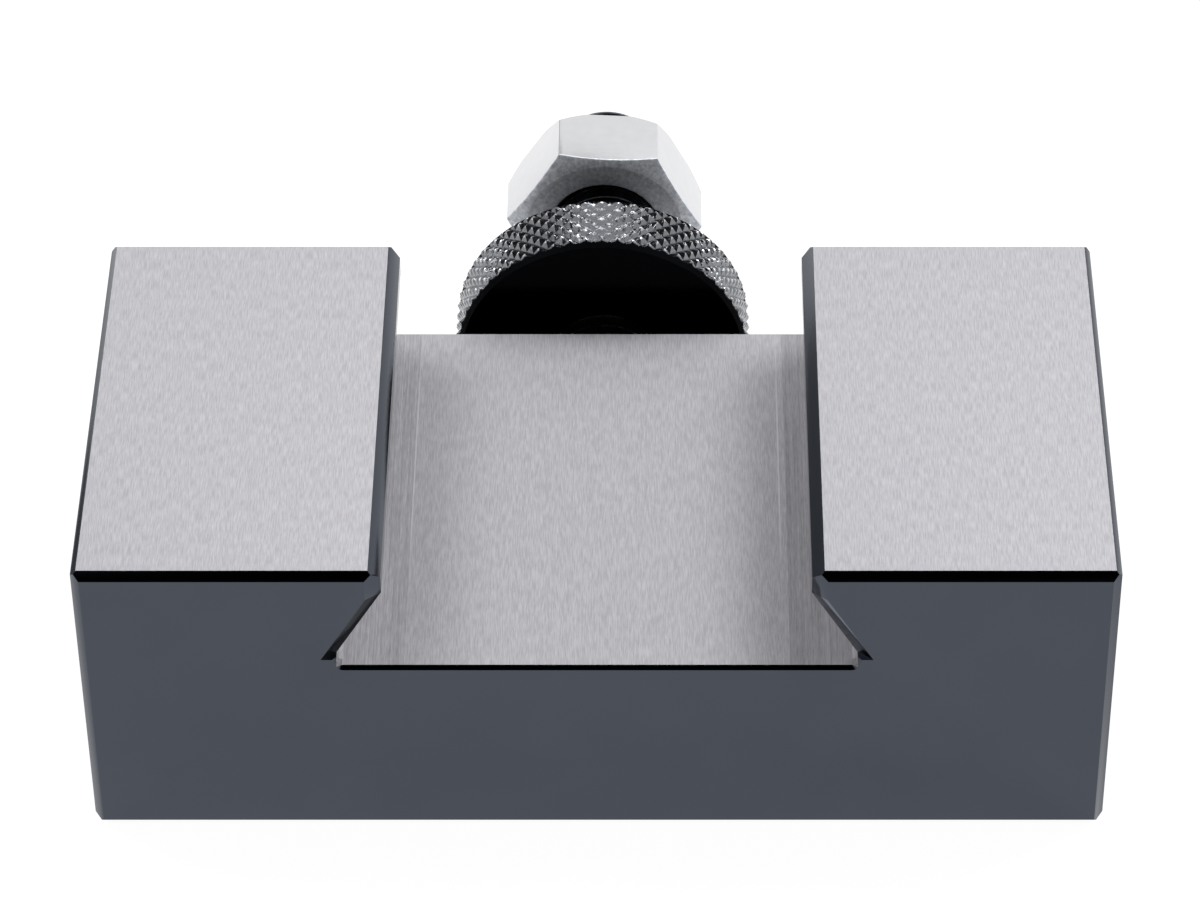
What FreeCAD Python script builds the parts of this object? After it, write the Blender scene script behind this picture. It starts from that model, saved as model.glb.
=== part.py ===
import FreeCAD, Part
import math
import os

os.makedirs("parts", exist_ok=True)

# A quick change tool holder for a lathe. It lies on its jaw side with the dovetail side up.
# X runs along its length, Y the way the dovetail slides on the post, towards the height stud, and
# Z out of the dovetail side. The origin is at the middle of the dovetail's mouth, in the plane of
# the two ground faces that bear on the post. All sizes are in millimetres.

# Block
body_length = 76.2
body_height = 38.0
body_thickness = 25.9
corner_chamfer = 0.65
face_end_chamfer = 0.6
face_side_chamfer = 0.45
jaw_end_chamfer = 0.6
jaw_side_chamfer = 0.9

# Dovetail, cut through along Y
dovetail_mouth = 31.3
dovetail_depth = 9.2
dovetail_angle = 60.0
lip_height = 2.4
lip_chamfer = 0.9
corner_relief = 0.75
corner_radius = 0.5
end_bevel_width = 1.15
end_bevel_depth = 0.85
floor_end_bevel = 0.3

# Tool slot, cut through along X from the jaw side, under the dovetail
lower_jaw = 9.0
tool_slot_width = 14.0
web_thickness = 5.0
tool_slot_radius = 0.8
tool_slot_mouth_chamfer = 0.5
tool_slot_end_bevel = 0.4

# Clamp screws, through the upper jaw into the tool slot
screw_diameter = 8.0
screw_length = 20.0
screw_point_diameter = 5.5
screw_rim_chamfer = 0.7
screw_socket_flats = 4.0
screw_socket_depth = 4.4
screws_each_side = 2
screw_end_margin = 7.6
screw_to_wheel = 1.0
screw_recess = 0.3

# Height stud, in a blind hole in the end of the block
stud_diameter = 8.0
stud_below_floor = 4.8
stud_seat_depth = 10.1
stud_hole_spare = 1.5
stud_proud = 5.4
stud_end_chamfer = 0.9

# Thumb wheel on the stud
wheel_diameter = 23.7
wheel_thickness = 5.7
wheel_gap = 2.6
wheel_rim_chamfer = 0.6

# Lock nut on the stud
nut_flats = 14.0
nut_thickness = 6.2
nut_gap = 10.55
nut_near_face_share = 0.91
nut_near_chamfer_angle = 22.0
nut_far_face_share = 1.03
nut_far_chamfer_angle = 45.0
nut_turn = 3.0

# Threads are drawn at their outer diameter, with this much air round them
thread_clearance = 0.05
hole_countersink = 0.4
bore_countersink = 0.55
drill_point_angle = 118.0

# How far a cutting shape reaches past the face that it cuts
overrun = 2.0

# Levels that several pieces share
end_y = body_height / 2
seat_y = lower_jaw - end_y
slot_top_y = seat_y + tool_slot_width
jaw_z = -body_thickness
slot_roof_z = -(dovetail_depth + web_thickness)
stud_z = -(dovetail_depth + stud_below_floor)
screw_z = (jaw_z + slot_roof_z) / 2
wheel_near_y = end_y + wheel_gap
wheel_far_y = wheel_near_y + wheel_thickness
nut_near_y = wheel_far_y + nut_gap
nut_far_y = nut_near_y + nut_thickness
stud_tip_y = nut_far_y + stud_proud
stud_root_y = end_y - stud_seat_depth
relief_top = dovetail_depth - corner_relief
flank_lean = math.radians(90 - dovetail_angle)
dovetail_floor_half = dovetail_mouth / 2 + (relief_top - lip_height) * math.tan(flank_lean)


def in_xy(u, v, w):
    return FreeCAD.Vector(u, v, w)


def in_xz(u, v, w):
    return FreeCAD.Vector(u, w, v)


def in_yz(u, v, w):
    return FreeCAD.Vector(w, u, v)


def outline(points, place, level):
    """Closed wire through flat points, laid in a plane at the given level."""
    corners = [place(u, v, level) for u, v in points]
    return Part.makePolygon(corners + corners[:1])


def prism(points, place, start, end):
    """Flat outline drawn out square to its plane, from one level to another."""
    face = Part.Face(outline(points, place, start))
    return face.extrude(place(0, 0, end) - place(0, 0, start))


def taper(first, second, place, start, end):
    """Solid between two flat outlines whose sides run parallel, one to one."""
    near = [place(u, v, start) for u, v in first]
    far = [place(u, v, end) for u, v in second]
    rings = [near, far]
    rings += [
        [near[index - 1], near[index], far[index], far[index - 1]] for index in range(len(near))
    ]
    faces = [Part.Face(Part.makePolygon(ring + ring[:1])) for ring in rings]
    solid = Part.Solid(Part.Shell(faces))
    if solid.Volume < 0:
        solid.reverse()
    return solid


def turned(points, x, z):
    """Solid turned about a line along Y, from points of radius and Y."""
    corners = [FreeCAD.Vector(x + radius, y, z) for radius, y in points]
    face = Part.Face(Part.makePolygon(corners + corners[:1]))
    return face.revolve(FreeCAD.Vector(x, 0, z), FreeCAD.Vector(0, 1, 0), 360)


def hexagon(flats, x, z, turn=0.0):
    """Six corners with a flat on top, turned about Y."""
    radius = flats / 2 / math.cos(math.radians(30))
    angles = [math.radians(60 * side - turn) for side in range(6)]
    return [(x + radius * math.cos(a), z + radius * math.sin(a)) for a in angles]


def clipped_rectangle(u0, u1, v0, v1, low, high):
    """Rectangle with its corners cut at 45 degrees, by one size at v0 and another at v1."""
    return [
        (u0 + low, v0), (u1 - low, v0), (u1, v0 + low), (u1, v1 - high),
        (u1 - high, v1), (u0 + high, v1), (u0, v1 - high), (u0, v0 + low),
    ]


def block():
    """Bar with all twelve edges chamfered, as the common part of its three views."""
    half = body_length / 2
    plan = clipped_rectangle(-half, half, -end_y, end_y, corner_chamfer, corner_chamfer)
    front = clipped_rectangle(-half, half, jaw_z, 0, jaw_side_chamfer, face_side_chamfer)
    side = clipped_rectangle(-end_y, end_y, jaw_z, 0, jaw_end_chamfer, face_end_chamfer)
    solid = prism(plan, in_xy, jaw_z - overrun, overrun)
    solid = solid.common(prism(front, in_xz, -end_y - overrun, end_y + overrun))
    return solid.common(prism(side, in_yz, -half - overrun, half + overrun))


def both_sides(right):
    """Closed section from the points of its right half."""
    return right + [(-x, z) for x, z in reversed(right)]


def flank_section(spread=0.0):
    """Section between the lips and the flanks, down to the corner reliefs."""
    mouth = dovetail_mouth / 2 + spread
    floor = dovetail_floor_half + spread
    return both_sides([(mouth, overrun), (mouth, -lip_height), (floor, -relief_top)])


def dovetail_section():
    """Whole section: chamfered lips, sloping flanks, and corner reliefs with upright walls."""
    mouth = dovetail_mouth / 2
    return both_sides([
        (mouth + lip_chamfer + overrun, overrun),
        (mouth, -lip_chamfer),
        (mouth, -lip_height),
        (dovetail_floor_half, -relief_top),
        (dovetail_floor_half, -dovetail_depth),
    ])


def dovetail_cut():
    """Dovetail with rounded corners, whose lips and flanks flare where they meet the two ends."""
    cut = prism(dovetail_section(), in_xz, -end_y - overrun, end_y + overrun)
    corners = [
        edge for edge in cut.Edges
        if edge.Length > body_height
        and max(abs(vertex.Z + dovetail_depth) for vertex in edge.Vertexes) < 0.001
    ]
    cut = cut.makeFillet(corner_radius, corners)
    wide = flank_section(end_bevel_width)
    for side in (-1, 1):
        end = side * end_y
        cut = cut.fuse(taper(wide, flank_section(), in_xz, end, end - side * end_bevel_depth))
    return cut


def bevel_floor_ends(solid):
    """Bevels the two end edges of the dovetail's floor, and of its rounded corners with them."""
    close = 0.001
    edges = []
    for edge in solid.Edges:
        box = edge.BoundBox
        at_end = box.YLength < close and abs(abs(box.Center.y) - end_y) < close
        across = max(-box.XMin, box.XMax) < dovetail_floor_half + close
        low = box.ZMin > -dovetail_depth - close and box.ZMax < corner_radius - dovetail_depth + close
        if at_end and across and low:
            edges.append(edge)
    return solid.makeChamfer(floor_end_bevel, edges)


def tool_slot_outline(spread=0.0):
    """Section of the tool slot, with a chamfered mouth on the jaw side."""
    low = seat_y - spread
    high = slot_top_y + spread
    flare = tool_slot_mouth_chamfer
    return [
        (low - flare - overrun, jaw_z - overrun),
        (low, jaw_z + flare),
        (low, slot_roof_z + spread),
        (high, slot_roof_z + spread),
        (high, jaw_z + flare),
        (high + flare + overrun, jaw_z - overrun),
    ]


def tool_slot_cut():
    """Tool slot with rounded inner corners, bevelled where it meets the block's two sides."""
    half = body_length / 2
    cut = prism(tool_slot_outline(), in_yz, -half - overrun, half + overrun)
    roof_corners = [
        edge for edge in cut.Edges
        if edge.Length > body_length
        and abs(edge.Vertexes[0].Z - slot_roof_z) < 0.001
        and abs(edge.Vertexes[1].Z - slot_roof_z) < 0.001
    ]
    cut = cut.makeFillet(tool_slot_radius, roof_corners)
    shape = tool_slot_outline()
    wide = tool_slot_outline(tool_slot_end_bevel)
    for side in (-1, 1):
        end = side * half
        cut = cut.fuse(taper(wide, shape, in_yz, end, end - side * tool_slot_end_bevel))
    return cut


def clamp_screw_places():
    """Where the clamp screws stand along X, clear of the wheel and of the block's two sides."""
    inner = wheel_diameter / 2 + screw_diameter / 2 + screw_to_wheel
    outer = body_length / 2 - screw_end_margin
    pitch = (outer - inner) / (screws_each_side - 1)
    right = [inner + pitch * step for step in range(screws_each_side)]
    return sorted([-x for x in right] + right)


def clamp_screw_hole(x):
    """Through hole in the upper jaw, countersunk at both mouths."""
    radius = screw_diameter / 2 + thread_clearance
    wide = radius + hole_countersink
    return turned([
        (0, slot_top_y - overrun),
        (wide, slot_top_y - overrun),
        (wide, slot_top_y),
        (radius, slot_top_y + hole_countersink),
        (radius, end_y - hole_countersink),
        (wide, end_y),
        (wide, end_y + overrun),
        (0, end_y + overrun),
    ], x, screw_z)


def stud_hole():
    """Blind hole with a drilled point and a countersunk mouth."""
    radius = stud_diameter / 2 + thread_clearance
    wide = radius + hole_countersink
    bottom = stud_root_y - stud_hole_spare
    point = bottom - radius / math.tan(math.radians(drill_point_angle / 2))
    return turned([
        (0, point),
        (radius, bottom),
        (radius, end_y - hole_countersink),
        (wide, end_y),
        (wide, end_y + overrun),
        (0, end_y + overrun),
    ], 0, stud_z)


def holder_body():
    solid = bevel_floor_ends(block().cut(dovetail_cut()))
    solid = solid.cut(tool_slot_cut()).cut(stud_hole())
    for x in clamp_screw_places():
        solid = solid.cut(clamp_screw_hole(x))
    return solid


def clamp_screw(x):
    """Set screw with a flat point, and a hexagon socket that ends in a drilled point."""
    radius = screw_diameter / 2
    point = screw_point_diameter / 2
    tip = slot_top_y + screw_recess
    top = tip + screw_length
    solid = turned([
        (0, tip),
        (point, tip),
        (radius, tip + radius - point),
        (radius, top - screw_rim_chamfer),
        (radius - screw_rim_chamfer, top),
        (0, top),
    ], x, screw_z)
    socket_floor = top - screw_socket_depth
    socket = prism(hexagon(screw_socket_flats, x, screw_z), in_xz, socket_floor, top + overrun)
    drilled = screw_socket_flats / 2
    slope = math.tan(math.radians(drill_point_angle / 2))
    drill = turned([
        (0, socket_floor - drilled / slope),
        (drilled, socket_floor),
        (drilled, top),
        (0, top),
    ], x, screw_z)
    return solid.cut(socket.fuse(drill))


def height_stud():
    radius = stud_diameter / 2
    return turned([
        (0, stud_root_y),
        (radius - stud_end_chamfer, stud_root_y),
        (radius, stud_root_y + stud_end_chamfer),
        (radius, stud_tip_y - stud_end_chamfer),
        (radius - stud_end_chamfer, stud_tip_y),
        (0, stud_tip_y),
    ], 0, stud_z)


def bored_section(rim, near, far):
    """Half section of a ring on the stud: countersunk bore, and the given rim from face to face."""
    bore = stud_diameter / 2 + thread_clearance
    wide = bore + bore_countersink
    return [
        (wide, near),
        *rim,
        (wide, far),
        (bore, far - bore_countersink),
        (bore, near + bore_countersink),
    ]


def thumb_wheel():
    radius = wheel_diameter / 2
    rim = [
        (radius - wheel_rim_chamfer, wheel_near_y),
        (radius, wheel_near_y + wheel_rim_chamfer),
        (radius, wheel_far_y - wheel_rim_chamfer),
        (radius - wheel_rim_chamfer, wheel_far_y),
    ]
    return turned(bored_section(rim, wheel_near_y, wheel_far_y), 0, stud_z)


def lock_nut():
    """Hexagon nut with its corners chamfered, more gently on the face towards the wheel."""
    corner = nut_flats / 2 / math.cos(math.radians(30)) + overrun
    near_face = nut_flats / 2 * nut_near_face_share
    far_face = nut_flats / 2 * nut_far_face_share
    near_drop = (corner - near_face) * math.tan(math.radians(nut_near_chamfer_angle))
    far_drop = (corner - far_face) * math.tan(math.radians(nut_far_chamfer_angle))
    rim = [
        (near_face, nut_near_y),
        (corner, nut_near_y + near_drop),
        (corner, nut_far_y - far_drop),
        (far_face, nut_far_y),
    ]
    ring = turned(bored_section(rim, nut_near_y, nut_far_y), 0, stud_z)
    return ring.common(prism(hexagon(nut_flats, 0, stud_z, nut_turn), in_xz, nut_near_y, nut_far_y))


nodes = {
    "holder_body": holder_body(),
    "height_stud": height_stud(),
    "thumb_wheel": thumb_wheel(),
    "lock_nut": lock_nut(),
}
for number, screw_x in enumerate(clamp_screw_places(), start=1):
    nodes[f"clamp_screw_{number}"] = clamp_screw(screw_x)

for name, shape in nodes.items():
    solid = shape.removeSplitter().Solids[0]
    solid.exportStep(f"parts/{name}.step")
    size = solid.BoundBox
    print(name, solid.isValid(), round(solid.Volume, 1), size)
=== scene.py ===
import bmesh
import bpy
import math
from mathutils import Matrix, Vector


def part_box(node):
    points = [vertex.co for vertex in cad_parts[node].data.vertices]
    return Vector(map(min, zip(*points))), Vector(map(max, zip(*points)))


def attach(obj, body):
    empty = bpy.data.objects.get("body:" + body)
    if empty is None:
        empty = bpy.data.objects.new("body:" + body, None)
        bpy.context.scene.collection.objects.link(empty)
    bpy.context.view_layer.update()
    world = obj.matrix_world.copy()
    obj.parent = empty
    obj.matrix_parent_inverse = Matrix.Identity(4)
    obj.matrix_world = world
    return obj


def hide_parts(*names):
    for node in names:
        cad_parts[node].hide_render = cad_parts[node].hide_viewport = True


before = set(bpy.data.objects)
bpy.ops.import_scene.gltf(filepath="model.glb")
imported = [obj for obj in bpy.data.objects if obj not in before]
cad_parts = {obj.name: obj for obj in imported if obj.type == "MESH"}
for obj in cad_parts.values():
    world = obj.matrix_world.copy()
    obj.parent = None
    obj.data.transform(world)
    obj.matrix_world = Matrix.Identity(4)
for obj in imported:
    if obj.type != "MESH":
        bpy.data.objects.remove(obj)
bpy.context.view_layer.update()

# The block. One piece of medium carbon steel, milled to shape and dipped in hot black oxide, which
# leaves it a smooth slate grey. The two faces that bear on the post and the whole dovetail are
# ground afterwards, so bare steel shows there and the chamfers beside them stay black.
MM = 0.001
maths = "ShaderNodeMath"
block_low, block_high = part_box("holder_body")
face_level = block_high.z
dovetail_floor_level = face_level - 9.2 * MM
dovetail_floor_half = 19.16 * MM
corner_radius = 0.5 * MM
lip_height = 2.4 * MM
flank_height = 6.05 * MM
end_bevel_depth = 0.85 * MM
level_tolerance = 0.01 * MM
beyond_the_part = 1000 * MM
block_edge_round = 0.07 * MM
merge_distance = 0.0005 * MM
flat_angle = math.radians(0.2)
rounded_angle = math.radians(28)
oxide_slate = "#4A4E57"
oxide_slate_dark = "#464A52"
# Painted shade and light on the flank bevels at the ends of the dovetail: near black on the left, a
# paler slate on the right.
flank_bevel_painted_shade = "#222429"
flank_bevel_painted_light = "#666A74"
# Painted light: the relief bevels get a paler slate than the oxide, to lift them out of the dark they
# reflect.
relief_bevel_painted_light = "#5A5E66"
ground_steel = "#C4C3C7"
ground_steel_dark = "#B1B0B4"
# Painted shade: the dovetail floor's colour is scaled down to stand for the shade in its recess.
floor_painted_shade = 0.93
grinding_line_steel = "#DCDCDE"
grind_grain_width = 0.09 * MM
grind_grain_length = 1.2 * MM
grind_patch_width = 0.7 * MM
grind_patch_length = 1.4 * MM
grind_grain_weight = 5.0
grind_tone_span = (2.2, 3.8)
side_strip_start = 14.2 * MM
side_streak_width = 0.12 * MM
side_streak_length = 14.0 * MM
side_streak_span = (0.35, 0.65)
# Side strips of the dovetail floor: coarser grinding streaks, plus painted shade under the lips, with
# more painted shade on the right strip.
side_streak_and_painted_shades = (0.84, 1.02)
right_strip_painted_shade = 0.88
grinding_line_places = (-14.2 * MM, 13.7 * MM)
grinding_line_width = 0.12 * MM
grinding_line_middle = 4.0 * MM
grinding_line_fade = (5.0 * MM, 14.0 * MM)
grinding_line_strengths = (0.6, 0.1)
oxide_mottle_size = 6.0 * MM
oxide_grain_size = 0.35 * MM
oxide_roughness = 0.15
ground_roughness = 0.8
relief_bevel_roughness = 0.5
skin_bump = 0.25
skin_relief = 0.01 * MM


def linear(colour):
    """Turns an sRGB hex colour into the linear numbers that a shader takes."""
    parts = [int(colour[place:place + 2], 16) / 255 for place in (1, 3, 5)]
    return [p / 12.92 if p <= 0.04045 else ((p + 0.055) / 1.055) ** 2.4 for p in parts] + [1.0]


def add(tree, kind, inputs=(), **settings):
    """Adds a node with its settings. Each input that is named or numbered gets a plain value, a
    socket, or another node, which stands for its first output."""
    node = tree.nodes.new(kind)
    for name, value in settings.items():
        setattr(node, name, value)
    for socket, value in dict(inputs).items():
        if isinstance(value, bpy.types.Node):
            value = value.outputs[0]
        if isinstance(value, bpy.types.NodeSocket):
            tree.links.new(value, node.inputs[socket])
        else:
            node.inputs[socket].default_value = value
    return node


def start_material(name, finish):
    """A material with one shader, whose plain values are set on the shader itself."""
    material = bpy.data.materials.new(name)
    material.use_nodes = True
    tree = material.node_tree
    tree.nodes.clear()
    shader = add(tree, "ShaderNodeBsdfPrincipled", finish)
    add(tree, "ShaderNodeOutputMaterial", {"Surface": shader.outputs["BSDF"]})
    return material, tree, shader


def soften(node, name, width, segments):
    """A copy of a CAD node with its triangles merged into faces and its sharp edges rounded."""
    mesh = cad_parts[node].data.copy()
    mesh.name = name
    mesh.materials.clear()
    shape = bmesh.new()
    shape.from_mesh(mesh)
    bmesh.ops.remove_doubles(shape, verts=shape.verts, dist=merge_distance)
    bmesh.ops.dissolve_limit(shape, angle_limit=flat_angle, verts=shape.verts, edges=shape.edges)
    shape.to_mesh(mesh)
    shape.free()
    piece = bpy.data.objects.new(name, mesh)
    bpy.context.scene.collection.objects.link(piece)
    rounding = piece.modifiers.new("rounding", "BEVEL")
    rounding.width = width
    rounding.segments = segments
    rounding.limit_method = "ANGLE"
    rounding.angle_limit = rounded_angle
    rounding.harden_normals = True
    for face in mesh.polygons:
        face.use_smooth = True
    return piece


def settle(piece, material):
    """Turns a piece and its modifiers into a plain mesh with one material."""
    seen = piece.evaluated_get(bpy.context.evaluated_depsgraph_get())
    mesh = bpy.data.meshes.new_from_object(seen)
    mesh.name = piece.name
    mesh.materials.clear()
    mesh.materials.append(material)
    piece.modifiers.clear()
    piece.data = mesh
    return piece


def within(tree, value, low, high):
    """1 where a value lies between two limits, else 0."""
    above = add(tree, maths, {0: value, 1: low}, operation="GREATER_THAN")
    below = add(tree, maths, {0: value, 1: high}, operation="LESS_THAN")
    return add(tree, maths, {0: above, 1: below}, operation="MULTIPLY")


def blackened_and_ground_steel():
    """Hot black oxide, smooth and slate grey, with bare ground steel on the bearing faces, where the
    grinding grain runs along Y and two passes of the wheel met in a thin bright line. The dovetail
    floor is painted darker as shade, and its side strips carry coarser streaks with more painted
    shade, most on the right. The flank bevels at the ends carry painted shade on the left and a paler
    painted tone on the right, and the relief bevels a paler painted tone."""
    material, tree, shader = start_material("blackened_and_ground_steel", {"Metallic": 1.0})
    place = add(tree, "ShaderNodeTexCoord")
    axes = add(tree, "ShaderNodeSeparateXYZ", {0: place.outputs["Object"]})
    x, z = axes.outputs["X"], axes.outputs["Z"]
    across = add(tree, maths, {0: x}, operation="ABSOLUTE")
    endwise = add(tree, maths, {0: axes.outputs["Y"]}, operation="ABSOLUTE")
    faces = within(tree, z, face_level - level_tolerance, face_level + level_tolerance)
    floor_level = within(tree, z, dovetail_floor_level - level_tolerance,
                         dovetail_floor_level + corner_radius)
    floor_width = within(tree, across, -beyond_the_part, dovetail_floor_half)
    floor = add(tree, maths, {0: floor_level, 1: floor_width}, operation="MULTIPLY")
    ground = add(tree, maths, {0: faces, 1: floor}, operation="MAXIMUM")
    flank_top = face_level - lip_height
    on_flank = within(tree, z, flank_top - flank_height, flank_top)
    inside = within(tree, across, -beyond_the_part, dovetail_floor_half + 2 * end_bevel_depth)
    between_ends = within(tree, endwise, -beyond_the_part,
                          block_high.y - end_bevel_depth - level_tolerance)
    flank = add(tree, maths, {0: on_flank, 1: inside}, operation="MULTIPLY")
    flank = add(tree, maths, {0: flank, 1: between_ends}, operation="MULTIPLY")
    ground = add(tree, maths, {0: ground, 1: flank}, operation="MAXIMUM")

    grain_place = add(tree, "ShaderNodeMapping", {
        "Vector": place.outputs["Object"],
        "Scale": (1 / grind_grain_width, 1 / grind_grain_length, 1 / grind_grain_width)})
    grain = add(tree, "ShaderNodeTexNoise", {
        "Vector": grain_place, "Scale": 1.0, "Detail": 3.0, "Roughness": 0.6})
    patch_place = add(tree, "ShaderNodeMapping", {
        "Vector": place.outputs["Object"],
        "Scale": (1 / grind_patch_width, 1 / grind_patch_length, 1 / grind_patch_width)})
    patch = add(tree, "ShaderNodeTexNoise", {
        "Vector": patch_place, "Scale": 1.0, "Detail": 2.0, "Roughness": 0.5})
    tone = add(tree, maths, {0: grain, 1: grind_grain_weight, 2: patch}, operation="MULTIPLY_ADD")
    tone = add(tree, "ShaderNodeMapRange", {
        "Value": tone, "From Min": grind_tone_span[0], "From Max": grind_tone_span[1]})
    steel = add(tree, "ShaderNodeMix", {
        0: tone, 6: linear(ground_steel_dark), 7: linear(ground_steel)},
        data_type="RGBA").outputs[2]
    streak_place = add(tree, "ShaderNodeMapping", {
        "Vector": place.outputs["Object"],
        "Scale": (1 / side_streak_width, 1 / side_streak_length, 1 / side_streak_width)})
    streaks_and_painted_shade = add(tree, "ShaderNodeTexNoise", {
        "Vector": streak_place, "Scale": 1.0, "Detail": 2.0, "Roughness": 0.6})
    from_middle = add(tree, maths, {0: axes.outputs["Y"], 1: grinding_line_middle},
                      operation="SUBTRACT")
    from_middle = add(tree, maths, {0: from_middle}, operation="ABSOLUTE")
    strength = add(tree, "ShaderNodeMapRange", {
        "Value": from_middle, "From Min": grinding_line_fade[0], "From Max": grinding_line_fade[1],
        "To Min": grinding_line_strengths[0], "To Max": grinding_line_strengths[1]})
    for line in grinding_line_places:
        near = within(tree, x, line - grinding_line_width / 2, line + grinding_line_width / 2)
        near = add(tree, maths, {0: near, 1: strength}, operation="MULTIPLY")
        steel = add(tree, "ShaderNodeMix", {
            0: near, 6: steel, 7: linear(grinding_line_steel)}, data_type="RGBA").outputs[2]
    # Side strips of the floor: coarser streaks that also carry painted shade under the lips, and the
    # right strip is painted darker still.
    streaks_and_painted_shade = add(tree, "ShaderNodeMapRange", {
        "Value": streaks_and_painted_shade, "From Min": side_streak_span[0], "From Max": side_streak_span[1],
        "To Min": side_streak_and_painted_shades[0], "To Max": side_streak_and_painted_shades[1]})
    left = within(tree, x, -beyond_the_part, 0.0)
    right_painted_shade = add(tree, "ShaderNodeMix", {0: left, 2: right_strip_painted_shade, 3: 1.0}, data_type="FLOAT")
    streaks_and_painted_shade = add(tree, maths, {0: streaks_and_painted_shade, 1: right_painted_shade}, operation="MULTIPLY")
    strip = within(tree, across, side_strip_start, beyond_the_part)
    # Painted shade: the whole dovetail floor is scaled darker than the top faces, for the shade in
    # its recess.
    deep = add(tree, "ShaderNodeMix", {0: strip, 2: 1.0, 3: streaks_and_painted_shade}, data_type="FLOAT")
    deep = add(tree, maths, {0: deep, 1: floor_painted_shade}, operation="MULTIPLY")
    deep = add(tree, "ShaderNodeMix", {0: floor, 2: 1.0, 3: deep}, data_type="FLOAT")
    steel = add(tree, "ShaderNodeVectorMath", {0: steel, 3: deep}, operation="SCALE")

    mottle = add(tree, "ShaderNodeTexNoise", {
        "Vector": place.outputs["Object"], "Scale": 1 / oxide_mottle_size, "Detail": 3.0})
    oxide = add(tree, "ShaderNodeMix", {
        0: mottle, 6: linear(oxide_slate_dark), 7: linear(oxide_slate)},
        data_type="RGBA").outputs[2]
    near_end = within(tree, endwise, block_high.y - end_bevel_depth - level_tolerance,
                      block_high.y - level_tolerance)
    below_flank = within(tree, z, dovetail_floor_level + level_tolerance, flank_top - flank_height)
    near_end = add(tree, maths, {0: inside, 1: near_end}, operation="MULTIPLY")
    # Painted shade on the left flank bevels and a paler painted tone on the right ones, standing for
    # what each reflects.
    flank_bevel_painted_tones = add(tree, "ShaderNodeMix", {
        0: left, 6: linear(flank_bevel_painted_light), 7: linear(flank_bevel_painted_shade)}, data_type="RGBA").outputs[2]
    flank_bevel = add(tree, maths, {0: on_flank, 1: near_end}, operation="MULTIPLY")
    relief_bevel = add(tree, maths, {0: below_flank, 1: near_end}, operation="MULTIPLY")
    # The relief bevels are painted a paler slate as light they would otherwise not show.
    for where, tint in ((flank_bevel, flank_bevel_painted_tones), (relief_bevel, linear(relief_bevel_painted_light))):
        oxide = add(tree, "ShaderNodeMix", {0: where, 6: oxide, 7: tint},
                    data_type="RGBA").outputs[2]
    oxide_grain = add(tree, "ShaderNodeTexNoise", {
        "Vector": place.outputs["Object"], "Scale": 1 / oxide_grain_size, "Detail": 2.0})

    colour = add(tree, "ShaderNodeMix", {0: ground, 6: oxide, 7: steel}, data_type="RGBA")
    tree.links.new(colour.outputs[2], shader.inputs["Base Color"])
    rough = add(tree, "ShaderNodeMapRange", {
        "Value": ground, "To Min": oxide_roughness, "To Max": ground_roughness})
    rough = add(tree, maths, {0: relief_bevel, 1: relief_bevel_roughness, 2: rough},
                operation="MULTIPLY_ADD")
    tree.links.new(rough.outputs[0], shader.inputs["Roughness"])
    height = add(tree, "ShaderNodeMix", {
        0: ground, 2: oxide_grain, 3: grain}, data_type="FLOAT")
    bump = add(tree, "ShaderNodeBump", {
        "Height": height, "Strength": skin_bump, "Distance": skin_relief})
    tree.links.new(bump.outputs[0], shader.inputs["Normal"])
    return material


block = settle(soften("holder_body", "block", block_edge_round, 2), blackened_and_ground_steel())
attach(block, "holder")
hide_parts("holder_body")

# The height stud. A length of 8 mm threaded rod in blackened steel, screwed to the bottom of its
# hole in the end of the block. Its thread is rolled, so the flanks are smooth and the crests
# flat, and both ends are turned to a chamfer.
stud_axis = sum(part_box("height_stud"), Vector()) / 2
thread_pitch = 1.25 * MM
thread_depth = 0.613 * thread_pitch
thread_sides = 64
thread_rows = 4
crest_half_share = 1 / 16
root_half_share = 1 / 8
spare_turns = 1.5
closing_share = 0.9
ring_merge = 0.001 * MM
thread_smooth_angle = 25
stud_end_chamfer = 0.9 * MM
rolled_oxide = "#26282C"
rolled_oxide_worn = "#8A8D93"
rolled_roughness = (0.24, 0.36)
worn_crest_depth = 0.02 * MM
thread_scuff_size = 0.5 * MM
scuff_span = (0.3, 0.7)


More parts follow.
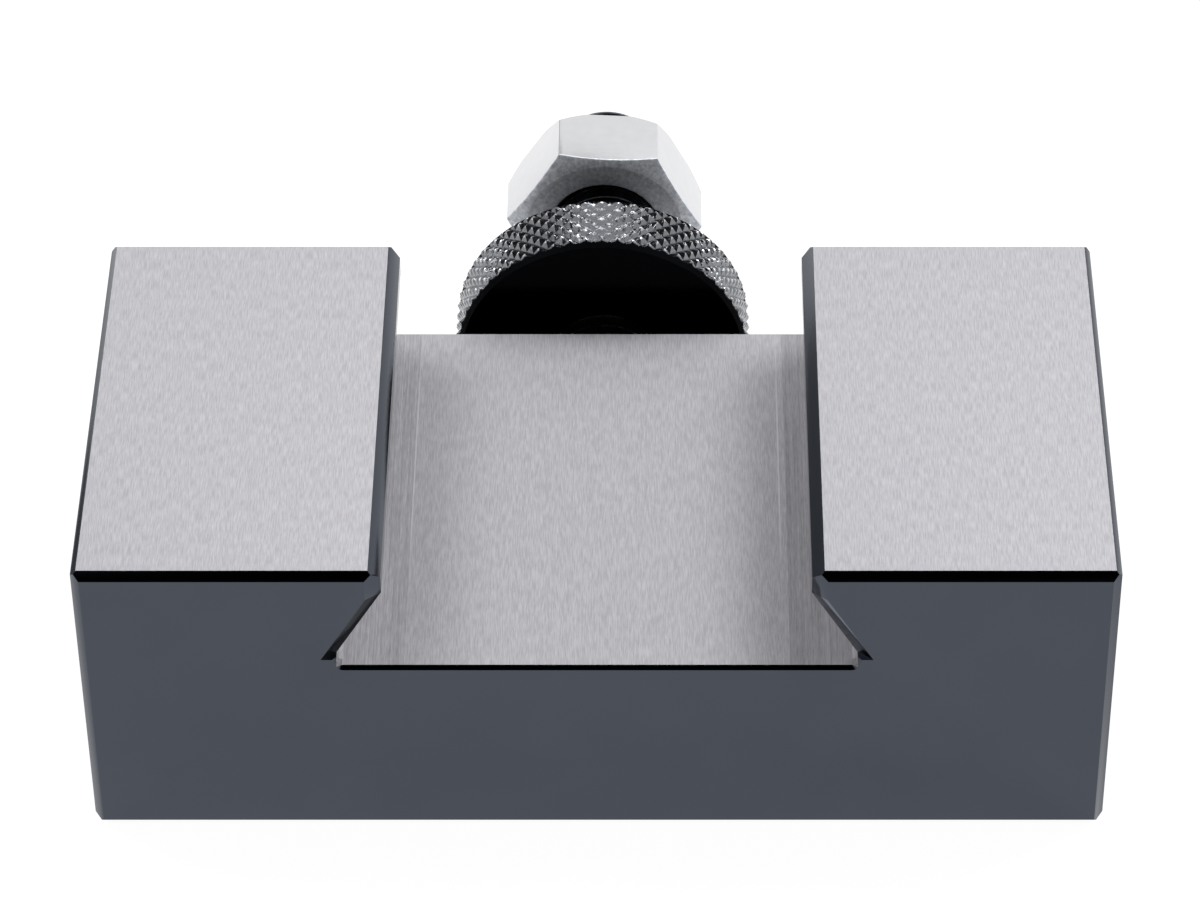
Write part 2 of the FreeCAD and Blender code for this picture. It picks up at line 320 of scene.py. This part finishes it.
def thread_tree():
    """A threaded rod along Y. Each turn has four rings, at the edges of its crest and its root, on
    a grid that is wound up as a right-hand screw, and the grid closes in a flat disc at each end."""
    tree = bpy.data.node_groups.new("threaded_rod", "GeometryNodeTree")
    face = tree.interface
    face.new_socket("Geometry", in_out="INPUT", socket_type="NodeSocketGeometry")
    for name in ("Radius", "Depth", "Pitch", "Near end", "Far end", "Near chamfer", "Far chamfer",
                 "Axis X", "Axis Z"):
        face.new_socket(name, in_out="INPUT", socket_type="NodeSocketFloat")
    face.new_socket("Turns", in_out="INPUT", socket_type="NodeSocketInt")
    face.new_socket("Finish", in_out="INPUT", socket_type="NodeSocketMaterial")
    face.new_socket("Geometry", in_out="OUTPUT", socket_type="NodeSocketGeometry")
    given = tree.nodes.new("NodeGroupInput").outputs

    rings = add(tree, maths, {0: given["Turns"], 1: thread_rows, 2: 1}, operation="MULTIPLY_ADD")
    grid = add(tree, "GeometryNodeMeshGrid", {
        "Size X": 1.0, "Size Y": 1.0, "Vertices X": thread_sides + 1, "Vertices Y": rings})
    spot = add(tree, "ShaderNodeSeparateXYZ", {0: add(tree, "GeometryNodeInputPosition")})
    row_share = add(tree, maths, {0: spot.outputs["Y"], 1: 0.5}, operation="ADD")
    row_count = add(tree, maths, {0: given["Turns"], 1: thread_rows}, operation="MULTIPLY")
    row = add(tree, maths, {0: row_share, 1: row_count}, operation="MULTIPLY")
    row = add(tree, maths, {0: row}, operation="ROUND")
    turn = add(tree, maths, {0: row, 1: 0.5}, operation="ADD")
    turn = add(tree, maths, {0: turn, 1: thread_rows}, operation="DIVIDE")
    turn = add(tree, maths, {0: turn}, operation="FLOOR")
    turn_start = add(tree, maths, {0: turn, 1: thread_rows}, operation="MULTIPLY")
    step = add(tree, maths, {0: row, 1: turn_start}, operation="SUBTRACT")
    edges = add(tree, "GeometryNodeIndexSwitch", {"Index": step}, data_type="FLOAT")
    places = (-crest_half_share, crest_half_share, 0.5 - root_half_share, 0.5 + root_half_share)
    for _ in range(len(places) - len(edges.index_switch_items)):
        edges.index_switch_items.new()
    for number, value in enumerate(places):
        edges.inputs[number + 1].default_value = value
    along = add(tree, maths, {0: turn, 1: edges}, operation="ADD")
    along = add(tree, maths, {0: along, 1: spot.outputs["X"]}, operation="ADD")
    along = add(tree, maths, {0: along, 1: spare_turns}, operation="SUBTRACT")
    level = add(tree, maths, {0: along, 1: given["Pitch"], 2: given["Near end"]},
                operation="MULTIPLY_ADD")

    in_root = add(tree, maths, {0: step, 1: thread_rows / 2 - 0.5}, operation="GREATER_THAN")
    cut = add(tree, maths, {0: in_root, 1: given["Depth"]}, operation="MULTIPLY")
    wound = add(tree, maths, {0: given["Radius"], 1: cut}, operation="SUBTRACT")
    for end, sign, chamfer in (("Near end", 1.0, "Near chamfer"), ("Far end", -1.0, "Far chamfer")):
        past = add(tree, maths, {0: level, 1: given[end]}, operation="SUBTRACT")
        past = add(tree, maths, {0: past, 1: sign}, operation="MULTIPLY")
        rim = add(tree, maths, {0: given["Radius"], 1: given[chamfer]}, operation="SUBTRACT")
        closing = add(tree, maths, {0: given["Pitch"], 1: closing_share}, operation="MULTIPLY")
        steep = add(tree, maths, {0: rim, 1: closing}, operation="DIVIDE")
        inside = add(tree, maths, {0: past, 1: 0.0}, operation="MAXIMUM")
        outside = add(tree, maths, {0: past, 1: 0.0}, operation="MINIMUM")
        outside = add(tree, maths, {0: outside, 1: steep}, operation="MULTIPLY")
        slope = add(tree, maths, {0: inside, 1: outside}, operation="ADD")
        limit = add(tree, maths, {0: rim, 1: slope}, operation="ADD")
        wound = add(tree, maths, {0: wound, 1: limit}, operation="MINIMUM")
    wound = add(tree, maths, {0: wound, 1: 0.0}, operation="MAXIMUM")
    level = add(tree, maths, {0: level, 1: given["Near end"]}, operation="MAXIMUM")
    level = add(tree, maths, {0: level, 1: given["Far end"]}, operation="MINIMUM")

    angle = add(tree, maths, {0: spot.outputs["X"], 1: math.tau}, operation="MULTIPLY")
    sine = add(tree, maths, {0: angle}, operation="SINE")
    cosine = add(tree, maths, {0: angle}, operation="COSINE")
    out_x = add(tree, maths, {0: wound, 1: sine, 2: given["Axis X"]}, operation="MULTIPLY_ADD")
    out_z = add(tree, maths, {0: wound, 1: cosine, 2: given["Axis Z"]}, operation="MULTIPLY_ADD")
    target = add(tree, "ShaderNodeCombineXYZ", {"X": out_x, "Y": level, "Z": out_z})
    rod = add(tree, "GeometryNodeSetPosition", {"Geometry": grid, "Position": target})
    rod = add(tree, "GeometryNodeMergeByDistance", {"Geometry": rod, "Distance": ring_merge})
    rod = add(tree, "GeometryNodeRealizeInstances", {"Geometry": rod})
    rod = add(tree, "GeometryNodeSetMaterial", {"Geometry": rod, "Material": given["Finish"]})
    add(tree, "NodeGroupOutput", {0: rod})
    return tree


def grow(name, tree, values, base=None):
    """Runs a tree with its named inputs and keeps what it makes as a plain mesh at the origin."""
    mesh = base or bpy.data.meshes.new(name)
    piece = bpy.data.objects.new(name, mesh)
    bpy.context.scene.collection.objects.link(piece)
    maker = piece.modifiers.new("maker", "NODES")
    maker.node_group = tree
    for socket in tree.interface.items_tree:
        if socket.in_out == "INPUT" and socket.name in values:
            maker[socket.identifier] = values[socket.name]
    made = bpy.data.meshes.new_from_object(
        piece.evaluated_get(bpy.context.evaluated_depsgraph_get()))
    made.name = name
    made.materials.clear()
    made.materials.append(values["Finish"])
    piece.modifiers.clear()
    piece.data = made
    return piece


def outward(mesh):
    """Turns a closed mesh's faces to point outwards."""
    shape = bmesh.new()
    shape.from_mesh(mesh)
    bmesh.ops.recalc_face_normals(shape, faces=shape.faces)
    shape.to_mesh(mesh)
    shape.free()


def smooth_by_angle(mesh, degrees):
    """Shades a mesh smooth, apart from edges that are sharper than an angle."""
    mesh.shade_smooth()
    mesh.set_sharp_from_angle(angle=math.radians(degrees))


def rolled_black_steel(name, axis_x, axis_z, worn_from):
    """Blackened steel on a rolled thread: near black and a little oily, with its crests rubbed
    towards bare metal."""
    material, tree, shader = start_material(name, {"Metallic": 1.0})
    place = add(tree, "ShaderNodeTexCoord")
    centred = add(tree, "ShaderNodeMapping", {
        "Vector": place.outputs["Object"], "Location": (-axis_x, 0.0, -axis_z),
        "Scale": (1.0, 0.0, 1.0)})
    radius = add(tree, "ShaderNodeVectorMath", {0: centred}, operation="LENGTH")
    scuff = add(tree, "ShaderNodeTexNoise", {
        "Vector": place.outputs["Object"], "Scale": 1 / thread_scuff_size, "Detail": 3.0})
    worn = add(tree, maths, {0: radius.outputs["Value"], 1: worn_from}, operation="GREATER_THAN")
    worn = add(tree, maths, {0: worn, 1: scuff}, operation="MULTIPLY")
    colour = add(tree, "ShaderNodeMix", {
        0: worn, 6: linear(rolled_oxide), 7: linear(rolled_oxide_worn)}, data_type="RGBA")
    tree.links.new(colour.outputs[2], shader.inputs["Base Color"])
    rough = add(tree, "ShaderNodeMapRange", {
        "Value": scuff, "From Min": scuff_span[0], "From Max": scuff_span[1],
        "To Min": rolled_roughness[0], "To Max": rolled_roughness[1]})
    tree.links.new(rough.outputs[0], shader.inputs["Roughness"])
    return material


def grow_thread(name, node, finish, near_chamfer, far_chamfer):
    """Grows a threaded rod in the place of a CAD node, in a rolled steel of its own."""
    low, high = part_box(node)
    middle = (low + high) / 2
    radius = (high.x - low.x) / 2
    piece = grow(name, threaded_rod, {
        "Radius": radius, "Depth": thread_depth, "Pitch": thread_pitch,
        "Near end": low.y, "Far end": high.y,
        "Near chamfer": near_chamfer, "Far chamfer": far_chamfer,
        "Axis X": middle.x, "Axis Z": middle.z,
        "Turns": math.ceil((high.y - low.y) / thread_pitch) + round(2 * spare_turns),
        "Finish": rolled_black_steel(finish, middle.x, middle.z, radius - worn_crest_depth)})
    outward(piece.data)
    return piece


threaded_rod = thread_tree()
stud = grow_thread("stud", "height_stud", "rolled_black_steel_stud",
                   stud_end_chamfer, stud_end_chamfer)
smooth_by_angle(stud.data, thread_smooth_angle)
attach(stud, "holder")
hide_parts("height_stud")

# The thumb wheel. Turned from steel bar, with a diamond knurl pressed into its rim by two wheels
# that cross, then blackened. Handling rubs the crests of the knurl back to bright steel, while
# the turned faces stay deep black.
wheel_low, wheel_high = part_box("thumb_wheel")
wheel_radius = (wheel_high.x - wheel_low.x) / 2
wheel_width = wheel_high.y - wheel_low.y
wheel_chamfer = 0.6 * MM
bore_radius = 4.05 * MM
bore_countersink = 0.55 * MM
knurl_around = 58
knurl_along = 1.2 * MM
knurl_steps = 8
knurl_rows = round(wheel_width / (knurl_along / knurl_steps))
knurl_depth = 0.36 * MM
knurl_crest_share = 0.04
knurl_unevenness = 0.2 * MM
unevenness_size = 0.8 * MM
unevenness_start = 0.4
unevenness_seed = 7.0
rim_start_share = 0.99
knurl_inset = 0.44 * MM
knurl_wear_depths = (0.15 * MM, 0.03 * MM)
knurl_scuff_size = 0.4 * MM
knurl_scuff_reach = 0.3 * MM
knurl_roughness = (0.12, 0.24)
plain_edge_roughness = 0.35
chatter_size = 0.22 * MM
chatter_relief = 0.03 * MM
wheel_oxide = "#0E0F11"
# Painted shade: the chamfers beside the knurl are near black, for the dark screen they reflect.
chamfer_painted_shade = "#131416"
knurl_oxide = "#787A7E"
knurl_bright = "#DEDEE0"


def wheel_blank():
    """The turned wheel before it is knurled, with rings on its rim as close as the knurl needs."""
    near, far = wheel_low.y, wheel_high.y
    face_radius = wheel_radius - wheel_chamfer
    section = [(bore_radius, near + bore_countersink), (bore_radius + bore_countersink, near)]
    section += [(face_radius, near + wheel_width * row / knurl_rows)
                for row in range(knurl_rows + 1)]
    section += [(bore_radius + bore_countersink, far), (bore_radius, far - bore_countersink)]
    shape = bmesh.new()
    verts = [shape.verts.new((stud_axis.x + radius, level, stud_axis.z)) for radius, level in section]
    edges = [shape.edges.new((verts[place - 1], verts[place])) for place in range(len(verts))]
    bmesh.ops.spin(shape, geom=verts + edges, cent=(stud_axis.x, 0, stud_axis.z), axis=(0, 1, 0),
                   angle=math.tau, steps=knurl_around * knurl_steps)
    bmesh.ops.remove_doubles(shape, verts=shape.verts, dist=ring_merge)
    rim = []
    for face in shape.faces:
        level = face.calc_center_median().y
        radii = [math.hypot(v.co.x - stud_axis.x, v.co.z - stud_axis.z) for v in face.verts]
        if min(radii) > face_radius - level_tolerance and near < level < far:
            rim.append(face)
    bmesh.ops.poke(shape, faces=rim)
    bmesh.ops.recalc_face_normals(shape, faces=shape.faces)
    mesh = bpy.data.meshes.new("thumb_wheel_blank")
    shape.to_mesh(mesh)
    shape.free()
    return mesh


def knurl_tree():
    """Presses diamonds into a rim that runs round Y. Two families of grooves cross, and what stands
    between them is a pyramid with its tip cut flat, inside the chamfers of the rim."""
    tree = bpy.data.node_groups.new("diamond_knurl", "GeometryNodeTree")
    face = tree.interface
    face.new_socket("Geometry", in_out="INPUT", socket_type="NodeSocketGeometry")
    for name in ("Outer radius", "Face radius", "Depth", "Crest share", "Unevenness", "Around",
                 "Along", "Plain edge", "Near face", "Far face", "Axis X", "Axis Z"):
        face.new_socket(name, in_out="INPUT", socket_type="NodeSocketFloat")
    face.new_socket("Finish", in_out="INPUT", socket_type="NodeSocketMaterial")
    face.new_socket("Geometry", in_out="OUTPUT", socket_type="NodeSocketGeometry")
    given = tree.nodes.new("NodeGroupInput").outputs

    spot = add(tree, "ShaderNodeSeparateXYZ", {0: add(tree, "GeometryNodeInputPosition")})
    across = add(tree, maths, {0: spot.outputs["X"], 1: given["Axis X"]}, operation="SUBTRACT")
    up = add(tree, maths, {0: spot.outputs["Z"], 1: given["Axis Z"]}, operation="SUBTRACT")
    across_squared = add(tree, maths, {0: across, 1: across}, operation="MULTIPLY")
    up_squared = add(tree, maths, {0: up, 1: up}, operation="MULTIPLY")
    radius = add(tree, maths, {0: across_squared, 1: up_squared}, operation="ADD")
    radius = add(tree, maths, {0: radius}, operation="SQRT")
    around = add(tree, maths, {0: across, 1: up}, operation="ARCTAN2")
    around = add(tree, maths, {0: around, 1: math.tau}, operation="DIVIDE")
    around = add(tree, maths, {0: around, 1: given["Around"]}, operation="MULTIPLY")
    level = add(tree, maths, {0: spot.outputs["Y"], 1: given["Near face"]}, operation="SUBTRACT")
    along = add(tree, maths, {0: level, 1: given["Along"]}, operation="DIVIDE")

    grooves = []
    for operation in ("ADD", "SUBTRACT"):
        crossing = add(tree, maths, {0: around, 1: along}, operation=operation)
        crossing = add(tree, maths, {0: crossing, 1: 0.5}, operation="PINGPONG")
        grooves.append(add(tree, maths, {0: crossing, 1: -2.0, 2: 1.0}, operation="MULTIPLY_ADD"))
    deeper = add(tree, maths, {0: grooves[0], 1: grooves[1]}, operation="MAXIMUM")
    flank = add(tree, "ShaderNodeMapRange", {
        "Value": deeper, "From Min": given["Crest share"], "From Max": 1.0})
    cut = add(tree, maths, {0: flank, 1: given["Depth"]}, operation="MULTIPLY")
    wander = add(tree, "ShaderNodeTexNoise", {
        "W": unevenness_seed, "Scale": 1 / unevenness_size, "Detail": 2.0}, noise_dimensions="4D")
    low_spots = add(tree, maths, {0: wander, 1: unevenness_start}, operation="SUBTRACT")
    low_spots = add(tree, maths, {0: low_spots, 1: 0.0}, operation="MAXIMUM")
    cut = add(tree, maths, {0: low_spots, 1: given["Unevenness"], 2: cut}, operation="MULTIPLY_ADD")

    to_far = add(tree, maths, {0: given["Far face"], 1: spot.outputs["Y"]}, operation="SUBTRACT")
    inset = add(tree, maths, {0: level, 1: to_far}, operation="MINIMUM")
    knurled = add(tree, maths, {0: inset, 1: given["Plain edge"]}, operation="GREATER_THAN")
    cut = add(tree, maths, {0: cut, 1: knurled}, operation="MULTIPLY")
    target = add(tree, maths, {0: given["Outer radius"], 1: cut}, operation="SUBTRACT")
    chamfer = add(tree, maths, {0: given["Face radius"], 1: inset}, operation="ADD")
    target = add(tree, maths, {0: target, 1: chamfer}, operation="MINIMUM")

    rim_start = add(tree, maths, {0: given["Face radius"], 1: rim_start_share},
                    operation="MULTIPLY")
    on_rim = add(tree, maths, {0: radius, 1: rim_start}, operation="GREATER_THAN")
    growth = add(tree, maths, {0: target, 1: radius}, operation="DIVIDE")
    growth = add(tree, maths, {0: growth, 1: 1.0}, operation="SUBTRACT")
    shift_x = add(tree, maths, {0: across, 1: growth}, operation="MULTIPLY")
    shift_z = add(tree, maths, {0: up, 1: growth}, operation="MULTIPLY")
    shift = add(tree, "ShaderNodeCombineXYZ", {"X": shift_x, "Z": shift_z})
    moved = add(tree, "GeometryNodeSetPosition", {
        "Geometry": given["Geometry"], "Selection": on_rim, "Offset": shift})
    moved = add(tree, "GeometryNodeRealizeInstances", {"Geometry": moved})
    moved = add(tree, "GeometryNodeSetMaterial", {"Geometry": moved, "Material": given["Finish"]})
    add(tree, "NodeGroupOutput", {0: moved})
    return tree


def knurled_black_steel():
    """Blackened steel: near black on the turned faces, slate in the grooves of the knurl, and bare
    steel where handling has rubbed the crests. The chamfers beside the knurl are painted near black
    as shade, for the dark they reflect."""
    material, tree, shader = start_material("knurled_black_steel", {"Metallic": 1.0})
    place = add(tree, "ShaderNodeTexCoord")
    centred = add(tree, "ShaderNodeMapping", {
        "Vector": place.outputs["Object"], "Location": (-stud_axis.x, 0.0, -stud_axis.z),
        "Scale": (1.0, 0.0, 1.0)})
    radius = add(tree, "ShaderNodeVectorMath", {0: centred}, operation="LENGTH")
    scuff = add(tree, "ShaderNodeTexNoise", {
        "Vector": place.outputs["Object"], "Scale": 1 / knurl_scuff_size, "Detail": 3.0})
    jitter = add(tree, maths, {
        0: scuff, 1: knurl_scuff_reach, 2: radius.outputs["Value"]}, operation="MULTIPLY_ADD")
    even = wheel_radius + knurl_scuff_reach / 2
    crest = add(tree, "ShaderNodeMapRange", {
        "Value": jitter, "From Min": even - knurl_wear_depths[0],
        "From Max": even - knurl_wear_depths[1]})
    level = add(tree, "ShaderNodeSeparateXYZ", {0: place.outputs["Object"]}).outputs["Y"]
    rim = within(tree, level, wheel_low.y + knurl_inset, wheel_high.y - knurl_inset)
    band = add(tree, maths, {
        0: radius.outputs["Value"], 1: wheel_radius - wheel_chamfer + level_tolerance},
        operation="GREATER_THAN")
    # Painted shade: the chamfer band outside the knurl is painted near black.
    dark = add(tree, "ShaderNodeMix", {
        0: band, 6: linear(wheel_oxide), 7: linear(chamfer_painted_shade)}, data_type="RGBA")
    dark = add(tree, "ShaderNodeMix", {
        0: rim, 6: dark.outputs[2], 7: linear(knurl_oxide)}, data_type="RGBA")
    worn = add(tree, maths, {0: crest, 1: rim}, operation="MULTIPLY")
    colour = add(tree, "ShaderNodeMix", {
        0: worn, 6: dark.outputs[2], 7: linear(knurl_bright)}, data_type="RGBA")
    tree.links.new(colour.outputs[2], shader.inputs["Base Color"])
    rough = add(tree, "ShaderNodeMapRange", {
        "Value": scuff, "From Min": scuff_span[0], "From Max": scuff_span[1],
        "To Min": knurl_roughness[0], "To Max": knurl_roughness[1]})
    plain = add(tree, maths, {0: band, 1: rim}, operation="SUBTRACT")
    rough = add(tree, maths, {0: plain, 1: plain_edge_roughness, 2: rough},
                operation="MULTIPLY_ADD")
    tree.links.new(rough.outputs[0], shader.inputs["Roughness"])
    chatter = add(tree, "ShaderNodeTexNoise", {
        "Vector": place.outputs["Object"], "Scale": 1 / chatter_size, "Detail": 2.0})
    bump = add(tree, "ShaderNodeBump", {
        "Height": chatter, "Strength": rim, "Distance": chatter_relief})
    tree.links.new(bump.outputs[0], shader.inputs["Normal"])
    return material


wheel = grow("knurled_wheel", knurl_tree(), {
    "Outer radius": wheel_radius, "Face radius": wheel_radius - wheel_chamfer,
    "Depth": knurl_depth, "Crest share": knurl_crest_share, "Unevenness": knurl_unevenness,
    "Around": float(knurl_around),
    "Along": wheel_width / knurl_rows * knurl_steps, "Plain edge": knurl_inset,
    "Near face": wheel_low.y, "Far face": wheel_high.y,
    "Axis X": stud_axis.x, "Axis Z": stud_axis.z,
    "Finish": knurled_black_steel()}, base=wheel_blank())
wheel.data.shade_flat()
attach(wheel, "thumb_wheel")
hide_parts("thumb_wheel")

# The lock nut. A hot-forged steel hexagon nut, chamfered on both faces and barrel plated in zinc,
# which gives it a bright satin skin, soft edges and a slightly mottled face.
nut_edge_round = 0.25 * MM
zinc = "#DFDFE1"
zinc_dull = "#D4D5D8"
zinc_mottle_size = 0.9 * MM
nut_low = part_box("lock_nut")[0]
bearing_radius = 6.37 * MM
bearing_slope = math.tan(math.radians(22))
bearing_skin = 0.1 * MM
bearing_speckle_size = 0.35 * MM
bearing_zinc = "#ECEEF2"
bearing_zinc_dull = "#BEC2C9"
# Painted shade: the flat ring of the bearing face is scaled darker than its cone.
bearing_face_painted_shade = 0.76
bearing_shade_border = 0.1 * MM
bearing_speckle_span = (0.35, 0.65)
zinc_roughness = 0.19
bearing_roughness = 0.65
pit_size = 0.25 * MM
pit_bump = 0.3
pit_relief = 0.02 * MM


def bright_zinc_plate():
    """Bright zinc plate on forged steel: satin, with faint mottling and fine pits, and a rubbed,
    speckled bearing face whose flat ring is painted darker as shade.
    """
    material, tree, shader = start_material("bright_zinc_plate", {"Metallic": 1.0})
    place = add(tree, "ShaderNodeTexCoord")
    mottle = add(tree, "ShaderNodeTexNoise", {
        "Vector": place.outputs["Object"], "Scale": 1 / zinc_mottle_size, "Detail": 4.0,
        "Roughness": 0.65})
    skin = add(tree, "ShaderNodeMix", {
        0: mottle, 6: linear(zinc_dull), 7: linear(zinc)}, data_type="RGBA")
    speckle = add(tree, "ShaderNodeTexNoise", {
        "Vector": place.outputs["Object"], "Scale": 1 / bearing_speckle_size, "Detail": 4.0,
        "Roughness": 0.7})
    speckle = add(tree, "ShaderNodeMapRange", {
        "Value": speckle, "From Min": bearing_speckle_span[0],
        "From Max": bearing_speckle_span[1]})
    rubbed = add(tree, "ShaderNodeMix", {
        0: speckle, 6: linear(bearing_zinc_dull), 7: linear(bearing_zinc)}, data_type="RGBA")
    centred = add(tree, "ShaderNodeMapping", {
        "Vector": place.outputs["Object"], "Location": (-stud_axis.x, 0.0, -stud_axis.z),
        "Scale": (1.0, 0.0, 1.0)})
    radius = add(tree, "ShaderNodeVectorMath", {0: centred}, operation="LENGTH")
    past = add(tree, maths, {0: radius.outputs["Value"], 1: bearing_radius}, operation="SUBTRACT")
    past = add(tree, maths, {0: past, 1: 0.0}, operation="MAXIMUM")
    edge = add(tree, maths, {
        0: past, 1: bearing_slope, 2: nut_low.y + bearing_skin}, operation="MULTIPLY_ADD")
    level = add(tree, "ShaderNodeSeparateXYZ", {0: place.outputs["Object"]}).outputs["Y"]
    bearing = add(tree, maths, {0: level, 1: edge}, operation="LESS_THAN")
    # Painted shade: the flat annulus of the bearing face is darkened, and the cone beyond it keeps
    # the full rubbed colour.
    annulus_painted_shade = add(tree, "ShaderNodeMapRange", {
        "Value": past, "From Max": bearing_shade_border, "To Min": bearing_face_painted_shade})
    rubbed = add(tree, "ShaderNodeVectorMath", {0: rubbed.outputs[2], 3: annulus_painted_shade}, operation="SCALE")
    colour = add(tree, "ShaderNodeMix", {0: bearing, 6: skin.outputs[2], 7: rubbed},
                 data_type="RGBA")
    tree.links.new(colour.outputs[2], shader.inputs["Base Color"])
    rough = add(tree, "ShaderNodeMapRange", {
        "Value": bearing, "To Min": zinc_roughness, "To Max": bearing_roughness})
    tree.links.new(rough.outputs[0], shader.inputs["Roughness"])
    pits = add(tree, "ShaderNodeTexNoise", {
        "Vector": place.outputs["Object"], "Scale": 1 / pit_size, "Detail": 2.0})
    bump = add(tree, "ShaderNodeBump", {
        "Height": pits, "Strength": pit_bump, "Distance": pit_relief})
    tree.links.new(bump.outputs[0], shader.inputs["Normal"])
    return material


nut = settle(soften("lock_nut", "hexagon_nut", nut_edge_round, 3), bright_zinc_plate())
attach(nut, "lock_nut")
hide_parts("lock_nut")

# The clamp screws. Four socket set screws in blackened alloy steel, screwed through the upper jaw
# to hold the tool. Their threads are rolled like the stud's, and the hexagon socket in the
# outer end is broached over a drilled point.
screw_point_chamfer = 1.25 * MM
screw_rim_chamfer = 0.7 * MM
socket_flats = 4.0 * MM
socket_depth = 4.4 * MM
drill_half_angle = math.radians(59)
screw_count = 4


def cut_socket(piece, axis_x, axis_z, top):
    """Cuts a hexagon socket with a drilled point into the outer end of a screw."""
    half = socket_flats / 2
    corner = half / math.cos(math.pi / 6)
    floor = top - socket_depth
    point = floor - half / math.tan(drill_half_angle)
    tool_mesh = bpy.data.meshes.new("socket_cutter")
    shape = bmesh.new()
    rings = []
    for level in (floor, top + MM):
        ring = []
        for side in range(6):
            turn = side * math.tau / 6
            ring.append(shape.verts.new((axis_x + corner * math.cos(turn), level,
                                         axis_z + corner * math.sin(turn))))
        rings.append(ring)
    tip = shape.verts.new((axis_x, point, axis_z))
    for side in range(6):
        shape.faces.new((rings[0][side - 1], rings[0][side], rings[1][side], rings[1][side - 1]))
        shape.faces.new((rings[0][side - 1], rings[0][side], tip))
    shape.faces.new(rings[1])
    bmesh.ops.recalc_face_normals(shape, faces=shape.faces)
    shape.to_mesh(tool_mesh)
    shape.free()
    tool = bpy.data.objects.new("socket_cutter", tool_mesh)
    bpy.context.scene.collection.objects.link(tool)
    cutter = piece.modifiers.new("socket", "BOOLEAN")
    cutter.object = tool
    cutter.operation = "DIFFERENCE"
    cutter.solver = "EXACT"
    made = bpy.data.meshes.new_from_object(
        piece.evaluated_get(bpy.context.evaluated_depsgraph_get()))
    made.name = piece.name
    piece.modifiers.clear()
    piece.data = made
    bpy.data.objects.remove(tool)


for number in range(1, screw_count + 1):
    node = f"clamp_screw_{number}"
    screw = grow_thread(f"socket_screw_{number}", node, f"rolled_black_steel_{node}",
                        screw_point_chamfer, screw_rim_chamfer)
    low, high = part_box(node)
    middle = (low + high) / 2
    cut_socket(screw, middle.x, middle.z, high.y)
    smooth_by_angle(screw.data, thread_smooth_angle)
    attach(screw, node)
    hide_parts(node)

# The ground and the light. The holder lies on a sheet of opal acrylic lit from below, in a bright
# room with a softbox high behind each side. The dark ceiling shades one side of each cell of the
# knurl, and the dark screen round the camera is what the front chamfers reflect as black.
sheet_half = 3000 * MM
opal_white = "#595959"
opal_glow = 0.96
opal_roughness = 0.9
opal_specular = 0.1
room_light = "#FFFFFF"
room_strength = 1.0
screen_toward = Vector((0.0, -0.745, 0.667))
screen_full = math.cos(math.radians(22))
screen_edge = math.cos(math.radians(36))
screen_light = 0.0
flag_toward = Vector((-0.7, 0.71, 0.05))
flag_full = math.cos(math.radians(20))
flag_edge = math.cos(math.radians(46))
flag_light = 0.3
ceiling_toward = Vector((0.0, 0.0, 1.0))
ceiling_full = math.cos(math.radians(31))
ceiling_edge = math.cos(math.radians(42))
ceiling_light = 0.03
softboxes = {
    "left_softbox": (Vector((-300, 250, 455)) * MM, 1.72),
    "right_softbox": (Vector((300, 250, 455)) * MM, 2.45)}
softbox_size = 280 * MM

sheet_mesh = bpy.data.meshes.new("ground_sheet")
corners = [(x * sheet_half, y * sheet_half, block_low.z) for x, y in
           ((-1, -1), (1, -1), (1, 1), (-1, 1))]
sheet_mesh.from_pydata(corners, [], [(0, 1, 2, 3)])
ground_sheet = bpy.data.objects.new("ground_sheet", sheet_mesh)
bpy.context.scene.collection.objects.link(ground_sheet)
opal, opal_tree, opal_shader = start_material("opal_acrylic_sheet", {
    "Base Color": linear(opal_white), "Roughness": opal_roughness,
    "Specular IOR Level": opal_specular, "Emission Color": linear(room_light),
    "Emission Strength": opal_glow})
sheet_mesh.materials.append(opal)

room = bpy.data.worlds.new("bright_room")
room.use_nodes = True
room_tree = room.node_tree
room_tree.nodes.clear()
direction = add(room_tree, "ShaderNodeTexCoord")
lit = room_strength
for toward, edge, full, light in ((screen_toward, screen_edge, screen_full, screen_light),
                                  (flag_toward, flag_edge, flag_full, flag_light),
                                  (ceiling_toward, ceiling_edge, ceiling_full, ceiling_light)):
    facing = add(room_tree, "ShaderNodeVectorMath", {
        0: direction.outputs["Generated"], 1: toward}, operation="DOT_PRODUCT")
    share = add(room_tree, "ShaderNodeMapRange", {
        "Value": facing.outputs["Value"], "From Min": edge, "From Max": full,
        "To Min": 1.0, "To Max": light}, interpolation_type="SMOOTHSTEP")
    lit = add(room_tree, maths, {0: lit, 1: share}, operation="MULTIPLY")
background = add(room_tree, "ShaderNodeBackground", {
    "Color": linear(room_light), "Strength": lit})
add(room_tree, "ShaderNodeOutputWorld", {"Surface": background})
bpy.context.scene.world = room

for name, (place, power) in softboxes.items():
    softbox = bpy.data.lights.new(name, "AREA")
    softbox.size = softbox_size
    softbox.energy = power
    softbox_object = bpy.data.objects.new(name, softbox)
    softbox_object.location = place
    softbox_object.rotation_euler = (-place).to_track_quat("-Z", "Y").to_euler()
    bpy.context.scene.collection.objects.link(softbox_object)

# The camera. A long lens that looks down at the end of the block from a little right of its
# middle, with the frame shifted sideways as the photograph was cropped.
camera_place = (4.69 * MM, -277.9 * MM, 243.8 * MM)
camera_tilt = math.radians(48.16)
lens_length = 147.7
sensor_width = 36.0
sideways_shift = -0.0508
near_clip = 20 * MM
far_clip = 20000 * MM

camera = bpy.data.cameras.new("camera")
camera.lens = lens_length
camera.sensor_width = sensor_width
camera.shift_x = sideways_shift
camera.clip_start = near_clip
camera.clip_end = far_clip
camera_object = bpy.data.objects.new("camera", camera)
camera_object.location = camera_place
camera_object.rotation_euler = (camera_tilt, 0.0, 0.0)
bpy.context.scene.collection.objects.link(camera_object)
bpy.context.scene.camera = camera_object
bpy.context.scene.view_settings.view_transform = "Standard"
